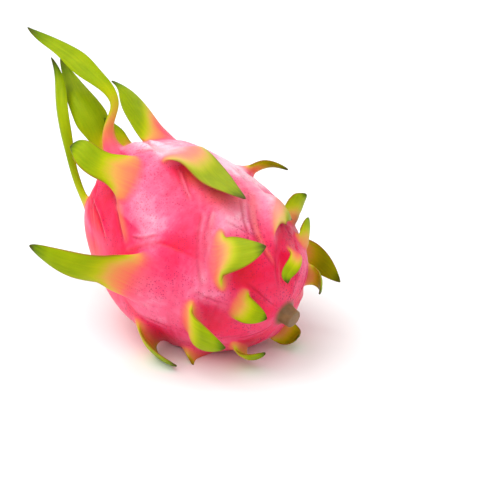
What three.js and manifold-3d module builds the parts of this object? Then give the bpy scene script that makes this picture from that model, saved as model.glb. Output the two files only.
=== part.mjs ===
// A whole dragon fruit lying on its side. It grew as one piece, so it is one solid: an
// egg-shaped body with a cut stem, a crater at the crown end where the flower sat, and
// leafy scales that grow out of the peel. All sizes are in millimetres, with +Z up.

import * as THREE from "three";
import { mergeVertices } from "three/addons/utils/BufferGeometryUtils.js";
import Module from "manifold-3d";

// The body. Stations along its axis run from the widest belt, minus towards the stem.
const BODY_RADIUS = 45.5;
const STEM_HALF_LENGTH = 66;
const CROWN_HALF_LENGTH = 58;
const STEM_ROUNDNESS = 2.0;
const CROWN_ROUNDNESS = 2.2;
const WAVE_HEIGHT = 0.7;

// The shallow hollow in its flank below the crown.
const FLANK_STATION = 33;
const FLANK_TURN = THREE.MathUtils.degToRad(98);
const FLANK_DEPTH = 4;
const FLANK_LENGTH = 17;
const FLANK_SPREAD = 22;

// The crater at the crown end, with the dry flower scar in it.
const RIM_RADIUS = 17;
const RIM_LIP = 2.5;
const CRATER_DEPTH = 8;
const SCAR_RADIUS = 7.5;
const SCAR_HEIGHT = 1.6;

// The cut stem, which stands in a shallow dimple.
const STEM_RADIUS = 4.6;
const STEM_LENGTH = 6.5;
const DIMPLE_RADIUS = 12;
const DIMPLE_DEPTH = 1.6;

// How the fruit lies: its crown end points left, away from the front and a little up.
const CROWN_YAW = THREE.MathUtils.degToRad(41);
const CROWN_TILT = THREE.MathUtils.degToRad(16);
const BELT_HEIGHT = 45;
const BELT_SHIFT = 1.4;

// Mesh steps.
const AROUND_BODY = 44;
const ALONG_BODY = 24;
const AROUND_SCALE = 8;
const ROOT_RINGS = 3;
const FEWEST_BLADE_RINGS = 4;
const BLADE_RING_GAP = 13;

// What every scale shares.
const ROOT_SINK = 0.7;
const ROOT_PLUG = 5;
const ROOT_THICKNESS = 3.6;
const TIP_THICKNESS = 1.1;
const CUSHION_HEIGHT = 1.6;
const CUSHION_LENGTH = 17;
const CUSHION_OFFSET = 9;

// The usual kinds of scale: a long leaf at the crown, a tongue further back that still
// points to the crown, a flap that has bent back towards the stem, and a stub by the stem.
// share is the part of the length over which the root draws in to the blade, and widest the
// place where the blade is widest. back and front are how far the root runs out behind and
// in front of the blade. splay is the blade's angle from the crown's direction towards
// straight out, and sway its angle round the fruit, both at even places from root to tip.
const LEAF = {
  length: 60, width: 17, root: 22, share: 0.2, widest: 0.55, neck: 0.7, point: 1.5, back: 12, front: 4,
  splay: [50, 24, 8, -2], sway: [0, 0, 0, 0], cup: 0.15,
};
const TONGUE = {
  length: 40, width: 18, root: 28, share: 0.3, widest: 0.55, neck: 0.9, point: 1.8, back: 18, front: 5,
  splay: [62, 36, 24, 20], sway: [0, 0, 0, 0], cup: 0.1,
};
const FLAP = {
  length: 30, width: 20, root: 27, share: 0.2, widest: 0.55, neck: 1, point: 1.8, back: 7, front: 5,
  splay: [122, 166, 182, 188], sway: [0, -8, -12, -14], cup: -0.1,
};
const STUB = {
  length: 17, width: 14, root: 18, share: 0.25, widest: 0.55, neck: 1, point: 2.2, back: 5, front: 4,
  splay: [140, 190, 225, 240], sway: [0, 0, 0, 0], cup: -0.1,
};

// Each scale grows at a station along the axis and a turn round it, in degrees: 0 on top,
// 90 on the front side.
const SCALES = [
  // The tall scale that bends over the crown.
  { ...LEAF, at: 48, turn: 20, length: 98, width: 20, root: 14, share: 0.3, widest: 0.67, neck: 0.22,
    back: 14, front: 5, splay: [55, 84, 15, 3, 2, -9], sway: [-8, -28, -2, -7, 6, -8], cup: 0.1 },
  // A broad one behind it, and a slender one at the far left.
  { ...LEAF, at: 51, turn: 26, length: 69, width: 23, root: 16, share: 0.17, widest: 0.38, neck: 0.55,
    point: 1.1, back: 5, front: 3, splay: [58, 32, -14, 20], sway: [-19, -15, -25, -21], cup: 0.2 },
  { ...LEAF, at: 53, turn: 85, length: 83, width: 12.5, root: 20, share: 0.28, widest: 0.69, neck: 0.43,
    point: 1.9, back: 9, front: 2, splay: [22, 10, -31, -22], sway: [-43, -60, -33, -12], cup: 0.39 },
  // The one behind, on top, and a small one between it and the tall one.
  { ...LEAF, at: 39, turn: -17, length: 47, width: 28.5, root: 19.5, share: 0.23, widest: 0.52, neck: 0.93,
    point: 1.43, back: 14, splay: [20, 18, 16, -4], sway: [9, -6, -12, 15], cup: 0.12 },
  { ...LEAF, at: 46, turn: 8, length: 20, width: 10, root: 11, back: 6, splay: [60, 40, 20, 10],
    sway: [6, 6, 4, 2] },
  // The short one with a round tip, and the long one at the lower left.
  { ...TONGUE, at: 26.5, turn: 38, length: 36, width: 15.5, root: 33, share: 0.34, widest: 0.57, neck: 1,
    point: 4.2, back: 15, splay: [44, 30, 9, -35], sway: [9, 20, -6, 20], cup: 0.07 },
  { ...TONGUE, at: -6, turn: 84, length: 63, width: 19.5, root: 36.5, share: 0.32, widest: 0.66, neck: 0.97,
    point: 2.06, back: 22, front: 6, splay: [68, 78, 24, -10], sway: [-14, -9, 2, 12], cup: 0.11 },
  // The bent ones in the middle: on top, at the front, and behind.
  { ...FLAP, at: 15, turn: 4.4, length: 51, width: 23, root: 26, share: 0.23, widest: 0.58, neck: 0.88,
    point: 1.65, splay: [132, 188, 173, 179], sway: [6, 7, 11, -1] },
  { ...FLAP, at: -38, turn: 46.7, length: 29, width: 22.8, root: 33, share: 0.22, widest: 0.71, neck: 0.91,
    point: 1.66, back: 6.6, front: 6, splay: [118, 153, 179, 179], sway: [-27, -31, -44, -52], cup: -0.12 },
  { ...FLAP, at: 1, turn: -48, length: 24, width: 11, root: 18, neck: 0.8, point: 2, back: 8,
    splay: [100, 125, 160, 172], sway: [0, 0, 0, 0], cup: 0.1 },
  // The hooded one and the short ones towards the stem.
  { ...FLAP, at: -32, turn: -9.3, length: 18, width: 38, root: 40, share: 0.3, widest: 0.4, neck: 0.78,
    point: 1.49, back: 7, front: 10, splay: [134, 173, 231, 218], sway: [-36, -60, -36, -26], cup: -0.15 },
  { ...STUB, at: -35.5, turn: -38, length: 14, width: 17.5, share: 0.27, point: 3.1, back: 7,
    splay: [97, 88, 87, 110], sway: [2, 1, -9, 3], cup: 0.2 },
  { ...STUB, at: -46, turn: -48, length: 13, width: 13.5, root: 16, share: 0.3, point: 3, back: 6,
    splay: [80, 65, 60, 50], cup: 0.2 },
  { ...STUB, at: -53, turn: -19, length: 27.5, width: 8, root: 14.8, share: 0.21, widest: 0.61, neck: 0.81,
    point: 3.35, front: 5, splay: [150, 217, 239, 174], sway: [36, 48, 55, 30], cup: -0.02 },
];

// The sides that can't be seen from the front carry plain rows of the same kinds. Those
// round the crater are short and bend in over it.
const FOLDED_LEAF = {
  ...LEAF, length: 26, width: 14, share: 0.3, neck: 0.9, point: 1.8, splay: [20, -16, -28, -30],
};
const SHORT_TONGUE = { ...TONGUE, length: 30, splay: [55, 26, 14, 8] };
const ROWS = [
  { kind: FOLDED_LEAF, at: 50, first: 192, step: 32, count: 2 },
  { kind: { ...FOLDED_LEAF, length: 40 }, at: 50, first: 256, step: 42, count: 2 },
  { kind: SHORT_TONGUE, at: 4, first: 178, step: 0, count: 1 },
  { kind: SHORT_TONGUE, at: 24, first: 216, step: 44, count: 2 },
  { kind: FLAP, at: -12, first: 132, step: 0, count: 1 },
  { kind: FLAP, at: -6, first: 222, step: 48, count: 2 },
  { kind: FLAP, at: -38, first: 98, step: 0, count: 1 },
  { kind: FLAP, at: -34, first: 150, step: 62, count: 3 },
  { kind: STUB, at: -54, first: 70, step: 72, count: 4 },
];
for (const row of ROWS) {
  for (let k = 0; k < row.count; k++) {
    SCALES.push({ ...row.kind, at: row.at, turn: row.first + k * row.step });
  }
}

const radians = THREE.MathUtils.degToRad;
const mix = THREE.MathUtils.lerp;
const smooth = (t) => THREE.MathUtils.smoothstep(t, 0, 1);

const axis = new THREE.Vector3(
  -Math.cos(CROWN_TILT) * Math.cos(CROWN_YAW),
  Math.cos(CROWN_TILT) * Math.sin(CROWN_YAW),
  Math.sin(CROWN_TILT),
);
const up = new THREE.Vector3(0, 0, 1).addScaledVector(axis, -axis.z).normalize();
const frontwards = new THREE.Vector3().crossVectors(up, axis);
const belt = new THREE.Vector3(axis.x, axis.y, 0).setLength(BELT_SHIFT).setZ(BELT_HEIGHT);

// The unit vector straight out from the axis at an angle round it.
function outwards(angle) {
  return up.clone().multiplyScalar(Math.cos(angle)).addScaledVector(frontwards, Math.sin(angle));
}

// The egg is two superellipse halves that meet at the belt. A sweep runs over it from 0 at
// the stem to 180 degrees at the crown: its sine is the share of the full radius.
function eggStation(sweep) {
  const toStem = sweep < Math.PI / 2;
  const power = toStem ? STEM_ROUNDNESS : CROWN_ROUNDNESS;
  const share = Math.pow(Math.max(0, 1 - Math.pow(Math.sin(sweep), power)), 1 / power);
  return toStem ? -STEM_HALF_LENGTH * share : CROWN_HALF_LENGTH * share;
}

function sweepAt(station) {
  const toStem = station < 0;
  const share = Math.abs(station) / (toStem ? STEM_HALF_LENGTH : CROWN_HALF_LENGTH);
  const power = toStem ? STEM_ROUNDNESS : CROWN_ROUNDNESS;
  const sweep = Math.asin(Math.pow(1 - Math.pow(share, power), 1 / power));
  return toStem ? sweep : Math.PI - sweep;
}

// 1 for a scale that points to the crown, -1 for one that points to the stem.
function headingOf(scale) {
  return scale.splay.at(-1) > 90 ? -1 : 1;
}

// How far an angle lies from a turn, along the peel at a station.
function across(angle, turn, station) {
  const apart = Math.atan2(Math.sin(angle - turn), Math.cos(angle - turn));
  return apart * BODY_RADIUS * Math.sin(sweepAt(station));
}

// How far the peel stands proud of the egg: low waves, the hollow flank, and a cushion
// behind each scale.
function relief(sweep, angle) {
  const station = eggStation(sweep);
  let height = WAVE_HEIGHT * Math.cos(3 * angle + 0.04 * station) * Math.cos(station / 30);
  const flankAlong = (station - FLANK_STATION) / FLANK_LENGTH;
  const flankAside = across(angle, FLANK_TURN, FLANK_STATION) / FLANK_SPREAD;
  height -= FLANK_DEPTH * Math.exp(-(flankAlong ** 2) - flankAside ** 2);
  for (const scale of SCALES) {
    const offset = headingOf(scale) * (station - scale.at) + CUSHION_OFFSET;
    const spread = scale.root * 0.55;
    const aside = across(angle, radians(scale.turn), scale.at) / spread;
    height += CUSHION_HEIGHT * Math.exp(-((offset / CUSHION_LENGTH) ** 2) - aside ** 2);
  }
  return height * smooth(Math.sin(sweep) / 0.6);
}

// A point on the peel, raised or sunk by a distance square to it.
function peel(sweep, angle, raise = 0) {
  const height = relief(sweep, angle) + raise;
  const station = eggStation(sweep) - height * Math.cos(sweep);
  const radius = (BODY_RADIUS + height) * Math.sin(sweep);
  return belt.clone().addScaledVector(axis, station).addScaledVector(outwards(angle), radius);
}

// The value at a place from 0 to 1 among evenly spaced values, on a Catmull-Rom curve.
function keyed(values, place) {
  const last = values.length - 1;
  const step = Math.min(last - 0.001, Math.max(0, place * last));
  const index = Math.floor(step);
  const f = step - index;
  const before = values[Math.max(0, index - 1)];
  const here = values[index];
  const next = values[index + 1];
  const after = values[Math.min(last, index + 2)];
  const square = (2 * before - 5 * here + 4 * next - after) * f * f;
  const cube = (3 * here - before - 3 * next + after) * f * f * f;
  return 0.5 * (2 * here + (next - before) * f + square + cube);
}

// A closed surface from rings of points, each end drawn together at a point.
function skin(rings, firstPoint, lastPoint) {
  const around = rings[0].length;
  const points = [firstPoint, ...rings.flat(), lastPoint];
  const last = points.length - 1;
  const ring = (i) => 1 + i * around;
  const faces = [];
  for (let j = 0; j < around; j++) {
    const k = (j + 1) % around;
    faces.push(0, ring(0) + j, ring(0) + k);
    for (let i = 0; i + 1 < rings.length; i++) {
      faces.push(ring(i) + j, ring(i + 1) + k, ring(i) + k);
      faces.push(ring(i) + j, ring(i + 1) + j, ring(i + 1) + k);
    }
    faces.push(ring(rings.length - 1) + j, last, ring(rings.length - 1) + k);
  }
  const geometry = new THREE.BufferGeometry();
  geometry.setAttribute("position", new THREE.Float32BufferAttribute(points.flatMap((p) => p.toArray()), 3));
  geometry.setIndex(faces);
  return geometry;
}

// The body's outline from the stem's cut face to the scar, as [station, radius, sweep or 0].
function bodyOutline() {
  const outline = [];
  const foot = -STEM_HALF_LENGTH + 1.5;
  outline.push([foot - STEM_LENGTH, STEM_RADIUS * 0.8, 0]);
  outline.push([foot - STEM_LENGTH + 0.8, STEM_RADIUS, 0]);
  outline.push([foot - 1, STEM_RADIUS * 1.05, 0]);
  const first = Math.asin((STEM_RADIUS * 1.7) / BODY_RADIUS);
  const last = Math.PI - Math.asin(RIM_RADIUS / BODY_RADIUS);
  for (let i = 0; i <= ALONG_BODY; i++) {
    const sweep = mix(first, last, i / ALONG_BODY);
    const radius = BODY_RADIUS * Math.sin(sweep);
    const dimple = sweep < Math.PI / 2 ? DIMPLE_DEPTH * Math.exp(-((radius / DIMPLE_RADIUS) ** 2)) : 0;
    outline.push([eggStation(sweep) + dimple, radius, sweep]);
  }
  const rim = outline[outline.length - 1][0];
  outline.push([rim + 0.3, RIM_RADIUS - RIM_LIP, 0]);
  outline.push([rim - CRATER_DEPTH * 0.6, RIM_RADIUS - RIM_LIP * 2, 0]);
  outline.push([rim - CRATER_DEPTH, SCAR_RADIUS * 1.1, 0]);
  outline.push([rim - CRATER_DEPTH + SCAR_HEIGHT, SCAR_RADIUS * 0.8, 0]);
  return outline;
}

function bodyGeometry() {
  const outline = bodyOutline();
  const onAxis = (station) => belt.clone().addScaledVector(axis, station);
  const rings = outline.map(([station, radius, sweep]) =>
    Array.from({ length: AROUND_BODY }, (_, j) => {
      const angle = (j / AROUND_BODY) * 2 * Math.PI;
      const height = sweep ? relief(sweep, angle) : 0;
      const out = radius + height * Math.sin(sweep);
      return onAxis(station - height * Math.cos(sweep)).addScaledVector(outwards(angle), out);
    }),
  );
  return skin(rings, onAxis(outline[0][0]), onAxis(outline[outline.length - 1][0]));
}

// One scale. Its rings start as a wide root that hugs the peel, draw in to the blade's
// lens-shaped section, and follow the blade's bent middle line out to the tip.
function scaleGeometry(scale) {
  const turn = radians(scale.turn);
  const radial = outwards(turn);
  const round = outwards(turn + Math.PI / 2);
  const sweep = sweepAt(scale.at);
  const reach = BODY_RADIUS * Math.sin(sweep);
  const root = peel(sweep, turn);
  const heading = headingOf(scale);
  const skew = -heading * radians(scale.sway[1]);
  const sideways = round.clone().multiplyScalar(Math.cos(skew)).addScaledVector(axis, Math.sin(skew));

  const direction = (place) => {
    const splay = radians(keyed(scale.splay, place));
    const sway = radians(keyed(scale.sway, place));
    return axis.clone().multiplyScalar(Math.cos(sway) * Math.cos(splay))
      .addScaledVector(radial, Math.cos(sway) * Math.sin(splay))
      .addScaledVector(round, Math.sin(sway));
  };

  const places = [];
  for (let i = 0; i < ROOT_RINGS; i++) places.push((scale.share * i) / ROOT_RINGS);
  const bladeRings = FEWEST_BLADE_RINGS + Math.round(scale.length / BLADE_RING_GAP);
  for (let i = 0; i < bladeRings; i++) places.push(mix(scale.share, 0.97, i / (bladeRings - 1)));

  const rings = [];
  const centre = root.clone();
  let place = 0;
  for (const next of places) {
    while (place < next - 1e-9) {
      const step = Math.min(0.01, next - place);
      centre.addScaledVector(direction(place + step / 2), step * scale.length);
      place += step;
    }
    const ahead = direction(place);
    const side = sideways.clone().addScaledVector(ahead, -sideways.dot(ahead)).normalize();
    const thick = new THREE.Vector3().crossVectors(side, ahead);
    const settled = smooth(place / scale.share);
    const flare = Math.pow(1 - Math.min(1, place / scale.share), 2.2);
    const start = 0.8 * scale.share;
    const spread = mix(scale.neck, 1, smooth((place - start) / (scale.widest - start)));
    const outline = Math.pow(1 - Math.pow(place, scale.point), 0.75) * spread;
    const half = mix((scale.width / 2) * outline, scale.root / 2, flare);
    const thickness = mix(ROOT_THICKNESS, TIP_THICKNESS, Math.pow(place, 0.6)) / 2;
    const lift = centre.clone().sub(root).dot(radial) * (1 - flare) - ROOT_SINK * flare;
    const ring = [];
    for (let j = 0; j < AROUND_SCALE; j++) {
      const v = (j / AROUND_SCALE) * 2 * Math.PI;
      const wide = half * Math.cos(v);
      const bend = scale.cup * half * (Math.cos(v) ** 2 - 0.4) * settled;
      const blade = centre.clone().addScaledVector(side, wide)
        .addScaledVector(thick, thickness * Math.sin(v) + bend);
      const run = heading * Math.sin(v) > 0 ? scale.front : scale.back;
      const along = Math.sin(v) * mix(thickness, run, flare);
      const foot = peel(
        sweep + (along * Math.cos(skew) + wide * Math.sin(skew)) / BODY_RADIUS,
        turn + (wide * Math.cos(skew) - along * Math.sin(skew)) / reach,
        lift,
      );
      ring.push(foot.lerp(blade, settled));
    }
    rings.push(ring);
  }
  const tip = centre.clone().addScaledVector(direction(1), scale.length * 0.03);
  const plug = root.clone().addScaledVector(radial, -ROOT_PLUG);
  return skin(rings, plug, tip);
}

const wasm = await Module();
wasm.setup();

// A closed geometry as a solid for cutting and joining.
function solid(geometry) {
  geometry.deleteAttribute("normal");
  geometry.deleteAttribute("uv");
  const merged = mergeVertices(geometry, 1e-4);
  return new wasm.Manifold(new wasm.Mesh({
    numProp: 3,
    vertProperties: new Float32Array(merged.attributes.position.array),
    triVerts: new Uint32Array(merged.index.array),
  }));
}

let fruit = solid(bodyGeometry());
for (const scale of SCALES) fruit = fruit.add(solid(scaleGeometry(scale)));
fruit = fruit.subtract(solid(new THREE.BoxGeometry(400, 400, 100).translate(0, 0, -50)));

const joined = fruit.getMesh();
const geometry = new THREE.BufferGeometry();
geometry.setAttribute("position", new THREE.BufferAttribute(new Float32Array(joined.vertProperties), 3));
geometry.setIndex(new THREE.BufferAttribute(new Uint32Array(joined.triVerts), 1));
geometry.computeVertexNormals();
const peelMaterial = new THREE.MeshStandardMaterial({ color: 0xf04078, roughness: 0.45, metalness: 0 });
const fruitMesh = new THREE.Mesh(geometry, peelMaterial);
fruitMesh.name = "dragon_fruit";

const part = new THREE.Group();
part.add(fruitMesh);
export default part;
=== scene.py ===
"""The looks of a whole dragon fruit that lies on its side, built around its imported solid.

The fruit grew as one piece, so it is one watertight mesh: an egg-shaped body and its leafy
scales are surfaces worked out on grids, joined by a Boolean union and softened at the joins.
Shapes are worked out in millimetres and put into the mesh in metres.
"""

import logging
from dataclasses import dataclass, field, replace
from enum import Enum

import bpy
import numpy as np
from mathutils import Matrix, Vector
from mathutils.kdtree import KDTree


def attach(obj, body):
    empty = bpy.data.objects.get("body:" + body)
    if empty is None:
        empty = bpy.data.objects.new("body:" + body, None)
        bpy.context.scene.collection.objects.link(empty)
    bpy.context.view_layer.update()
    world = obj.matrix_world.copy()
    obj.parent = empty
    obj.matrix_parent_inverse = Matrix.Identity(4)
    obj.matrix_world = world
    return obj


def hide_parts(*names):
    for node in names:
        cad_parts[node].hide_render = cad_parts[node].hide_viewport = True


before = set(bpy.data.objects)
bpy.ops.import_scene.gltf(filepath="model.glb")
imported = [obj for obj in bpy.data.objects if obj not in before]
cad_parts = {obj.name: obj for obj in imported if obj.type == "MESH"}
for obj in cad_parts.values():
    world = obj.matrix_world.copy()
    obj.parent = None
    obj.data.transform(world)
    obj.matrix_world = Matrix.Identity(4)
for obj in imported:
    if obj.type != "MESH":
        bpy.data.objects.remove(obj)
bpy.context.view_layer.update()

Array = np.ndarray
Socket = bpy.types.NodeSocket
Thing = bpy.types.Object
Span = tuple[float, float]
Map = tuple[Span, Span]
Triple = tuple[float, float, float]
Colour = tuple[int, int, int]
Stops = tuple[tuple[float, Colour], ...]

NODE = "dragon_fruit"
BODY = "root"
MILLIMETRE = 0.001
UNIT: Span = (0.0, 1.0)
log = logging.getLogger("dragon_fruit")


def smooth(value: Array) -> Array:
    """Eases a value from 0 to 1: three times its square less twice its cube, held outside."""
    held = np.clip(value, 0.0, 1.0)
    return held * held * (3.0 - 2.0 * held)


def mix(first: Array, second: Array, share: Array) -> Array:
    """Blends two arrays in a straight line, first at share 0 and second at share 1."""
    return first + (second - first) * share


def keyed(values: tuple[float, ...], place: Array) -> Array:
    """Reads a Catmull-Rom curve through evenly spaced values.

    Args:
        values: The curve's values at evenly spaced places from 0 to 1.
        place: Where to read it.

    Returns:
        The curve's value at each place.
    """
    keys = np.asarray(values, dtype=float)
    last = len(keys) - 1
    step = np.clip(np.asarray(place) * last, 0.0, last - 0.001)
    index = step.astype(int)
    f = step - index
    before, here, after, beyond = (keys[np.clip(index + k, 0, last)] for k in (-1, 0, 1, 2))
    square = (2 * before - 5 * here + 4 * after - beyond) * f * f
    cube = (3 * here - before - 3 * after + beyond) * f * f * f
    return 0.5 * (2 * here + (after - before) * f + square + cube)


def linear(red: int, green: int, blue: int) -> tuple[float, float, float, float]:
    """Turns a colour in screen values of 0 to 255 into the linear colour that shaders take."""
    screen = np.array([red, green, blue]) / 255.0
    low = screen / 12.92
    high = ((screen + 0.055) / 1.055) ** 2.4
    return (*np.where(screen < 0.04045, low, high).tolist(), 1.0)


def bell(*offsets: Array) -> Array:
    """A bump of 1 where every offset is 0, which falls off as a bell with their squares."""
    return np.exp(-sum(offset**2 for offset in offsets))


def ridge_and_groove(off: Array, width: float, place: float, share: float) -> tuple[Array, Array]:
    """A ridge along a line and the groove beside it, each a bell across its own width.

    Args:
        off: How far points lie from the line.
        width: The ridge's width.
        place: Where the groove lies, in ridge widths.
        share: The groove's width as a share of the ridge's.

    Returns:
        The strengths of the ridge and of the groove.
    """
    return bell(off / width), bell((off - place * width) / (share * width))


def add_object(name: str, data: bpy.types.ID) -> Thing:
    """Makes an object that holds the data, linked to the scene."""
    made = bpy.data.objects.new(name, data)
    bpy.context.scene.collection.objects.link(made)
    return made


def add_mesh(name: str, points: Array, faces: list) -> Thing:
    """Makes a mesh object of points in millimetres and the faces between them.

    Args:
        name: The object's name.
        points: One row for each point.
        faces: The numbers of each face's points, in turn.

    Returns:
        The object, linked to the scene and in metres.
    """
    mesh = bpy.data.meshes.new(name)
    mesh.from_pydata((np.asarray(points) * MILLIMETRE).tolist(), [], faces)
    mesh.validate()
    return add_object(name, mesh)


@dataclass(frozen=True)
class Lie:
    """How the fruit lies: its crown end points left, away from the front and a little up."""

    crown_yaw: float = 41.0
    crown_tilt: float = 16.0
    belt_height: float = 45.0
    belt_shift: float = 1.4

    @property
    def axis(self) -> Array:
        """The unit vector along the fruit, from the stem to the crown."""
        yaw, tilt = np.radians([self.crown_yaw, self.crown_tilt])
        return np.array([-np.cos(tilt) * np.cos(yaw), np.cos(tilt) * np.sin(yaw), np.sin(tilt)])

    @property
    def up(self) -> Array:
        """The unit vector square to the axis that points up most."""
        raised = np.array([0.0, 0.0, 1.0]) - self.axis[2] * self.axis
        return raised / np.linalg.norm(raised)

    @property
    def belt(self) -> Array:
        """The point on the axis in the plane of the widest belt."""
        level = self.axis[:2] / np.linalg.norm(self.axis[:2]) * self.belt_shift
        return np.array([level[0], level[1], self.belt_height])

    def outwards(self, angle: Array) -> Array:
        """The unit vectors straight out from the axis: 0 is on top and a quarter turn the front."""
        turn = np.asarray(angle)[..., None]
        return np.cos(turn) * self.up + np.sin(turn) * np.cross(self.up, self.axis)


@dataclass(frozen=True)
class Scale:
    """One leafy scale of the fruit.

    It grows at a station along the axis, counted in millimetres from the belt towards the
    crown, and at a turn round it in degrees. splay is the blade's angle from the crown's
    direction towards straight out and sway its angle round the fruit, both at even places
    from root to tip. share is the part of the length over which the wide root draws in,
    widest the place where the blade is widest, and back and front are how far the root runs
    out behind and in front of the blade. blush is the part of the length that is still pink,
    vee how much sooner both edges turn green than the middle, lean how much sooner one edge
    does than the other, pale how pale the blade's pink is, and coral how far its base has
    turned from pink. ridge is how strongly the root's edges run on over the peel, and
    rim how plainly the margin shows.
    """

    length: float
    width: float
    root: float
    share: float
    neck: float
    point: float
    back: float
    front: float
    splay: tuple[float, ...]
    sway: tuple[float, ...] = (0.0, 0.0, 0.0, 0.0)
    cup: float = 0.1
    widest: float = 0.55
    at: float = 0.0
    turn: float = 0.0
    blush: float = 0.22
    vee: float = 0.12
    lean: float = 0.0
    pale: float = 0.22
    coral: float = 0.12
    ridge: float = 1.0
    rim: float = 1.0

    @property
    def heading(self) -> int:
        """1 for a scale that points to the crown, -1 for one that points to the stem."""
        return -1 if self.splay[-1] > 90 else 1

    @property
    def skew(self) -> float:
        """How far the root is turned on the peel, in radians, to lie square to the blade."""
        return -self.heading * float(np.radians(self.sway[1]))


LEAF = Scale(60, 17, 22, 0.2, 0.7, 1.5, 12, 4, (50, 24, 8, -2), cup=0.15, rim=0.7)
TONGUE = Scale(40, 18, 28, 0.3, 0.9, 1.8, 18, 5, (62, 36, 24, 20))
FLAP = Scale(30, 20, 27, 0.2, 1.0, 1.8, 7, 5, (122, 166, 182, 188), (0, -8, -12, -14), cup=-0.1)
STUB = Scale(17, 14, 18, 0.25, 1.0, 2.2, 5, 4, (140, 190, 225, 240), cup=-0.1)
FOLDED_LEAF = replace(
    LEAF, length=26, width=14, share=0.3, neck=0.9, point=1.8, splay=(20, -16, -28, -30)
)
SHORT_TONGUE = replace(TONGUE, length=30, splay=(55, 26, 14, 8))

TALL = replace(
    LEAF, at=48, turn=20, length=98, width=20, root=14, share=0.3, widest=0.67, neck=0.22, back=14,
    front=5, splay=(55, 84, 15, 3, 2, -9), sway=(-8, -28, -2, -7, 6, -8), cup=0.1, blush=0.24,
    vee=0.04, coral=0.14,
)
BROAD = replace(
    LEAF, at=51, turn=26, length=69, width=23, root=16, share=0.17, widest=0.38, neck=0.55,
    point=1.1, back=5, front=3, splay=(58, 32, -14, 20), sway=(-19, -15, -25, -21), cup=0.2,
    blush=0.02,
)
SLENDER = replace(
    LEAF, at=53, turn=85, length=83, width=12.5, root=20, share=0.28, widest=0.69, neck=0.43,
    point=1.9, back=9, front=2, splay=(22, 10, -31, -22), sway=(-43, -60, -33, -12), cup=0.39,
    blush=0.03, ridge=0,
)
BEHIND = replace(
    LEAF, at=39, turn=-17, length=47, width=28.5, root=19.5, share=0.23, widest=0.52, neck=0.93,
    point=1.43, back=14, splay=(20, 18, 16, -4), sway=(9, -6, -12, 15), cup=0.12, blush=0.24,
    vee=0.02, lean=0.36, pale=0, coral=0.1,
)
BETWEEN = replace(
    LEAF, at=46, turn=8, length=20, width=10, root=11, back=6, splay=(60, 40, 20, 10),
    sway=(6, 6, 4, 2), blush=0.1,
)
ROUND_TIP = replace(
    TONGUE, at=26.5, turn=38, length=36, width=15.5, root=33, share=0.34, widest=0.57, neck=1,
    point=4.2, back=15, splay=(44, 30, 9, -35), sway=(9, 20, -6, 20), cup=0.07, blush=0.24,
    coral=0.14, ridge=0,
)
LOWER_LEFT = replace(
    TONGUE, at=-6, turn=84, length=63, width=19.5, root=36.5, share=0.32, widest=0.66, neck=0.97,
    point=2.06, back=22, front=6, splay=(68, 78, 24, -10), sway=(-14, -9, 2, 12), cup=0.11,
    blush=0.28, vee=0.1, coral=0.13, ridge=0.4,
)
TOP_FLAP = replace(
    FLAP, at=15, turn=4.4, length=51, width=23, root=26, share=0.23, widest=0.58, neck=0.88,
    point=1.65, splay=(132, 188, 173, 179), sway=(6, 7, 11, -1), vee=0.2, lean=-0.05, pale=0.45,
    coral=0.04, ridge=0,
)
FRONT_FLAP = replace(
    FLAP, at=-38, turn=46.7, length=29, width=22.8, root=33, share=0.22, widest=0.71, neck=0.91,
    point=1.66, back=6.6, front=6, splay=(118, 153, 179, 179), sway=(-27, -31, -44, -52),
    cup=-0.12, blush=0.2, vee=0.3, pale=0.36, coral=0.04, ridge=0.6,
)
FAR_FLAP = replace(
    FLAP, at=1, turn=-48, length=24, width=11, root=18, neck=0.8, point=2, back=8,
    splay=(100, 125, 160, 172), sway=(0, 0, 0, 0), cup=0.1, blush=0.3,
)
HOOD = replace(
    FLAP, at=-32, turn=-9.3, length=18, width=38, root=40, share=0.3, widest=0.4, neck=0.78,
    point=1.49, front=10, splay=(134, 173, 231, 218), sway=(-36, -60, -36, -26), cup=-0.15,
    blush=0.52, vee=0, lean=0.3, pale=0.55, coral=0.04, ridge=0.3,
)
CURLED_STUB = replace(
    STUB, at=-35.5, turn=-38, length=14, width=17.5, share=0.27, point=3.1, back=7,
    splay=(97, 88, 87, 110), sway=(2, 1, -9, 3), cup=0.2,
)
LOW_STUB = replace(
    STUB, at=-46, turn=-48, length=13, width=13.5, root=16, share=0.3, point=3, back=6,
    splay=(80, 65, 60, 50), cup=0.2,
)
STEM_STUB = replace(
    STUB, at=-53, turn=-19, length=27.5, width=8, root=14.8, share=0.21, widest=0.61, neck=0.81,
    point=3.35, front=5, splay=(150, 217, 239, 174), sway=(36, 48, 55, 30), cup=-0.02, blush=0.34,
)


@dataclass(frozen=True)
class Row:
    """A row of like scales round the fruit, on the sides that can't be seen from the front."""

    kind: Scale
    at: float
    first: float
    step: float = 0.0
    count: int = 1

    def scales(self) -> list[Scale]:
        """The row's scales, each a step further round."""
        turns = [self.first + k * self.step for k in range(self.count)]
        return [replace(self.kind, at=self.at, turn=turn) for turn in turns]


SHOWN_SCALES = [
    TALL, BROAD, SLENDER, BEHIND, BETWEEN, ROUND_TIP, LOWER_LEFT, TOP_FLAP, FRONT_FLAP, FAR_FLAP,
    HOOD, CURLED_STUB, LOW_STUB, STEM_STUB,
]
ROWS = [
    Row(FOLDED_LEAF, 50, 192, 32, 2),
    Row(replace(FOLDED_LEAF, length=40), 50, 256, 42, 2),
    Row(SHORT_TONGUE, 4, 178),
    Row(SHORT_TONGUE, 24, 216, 44, 2),
    Row(FLAP, -12, 132),
    Row(FLAP, -6, 222, 48, 2),
    Row(FLAP, -38, 98),
    Row(FLAP, -34, 150, 62, 3),
    Row(STUB, -54, 70, 72, 4),
]


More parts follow.
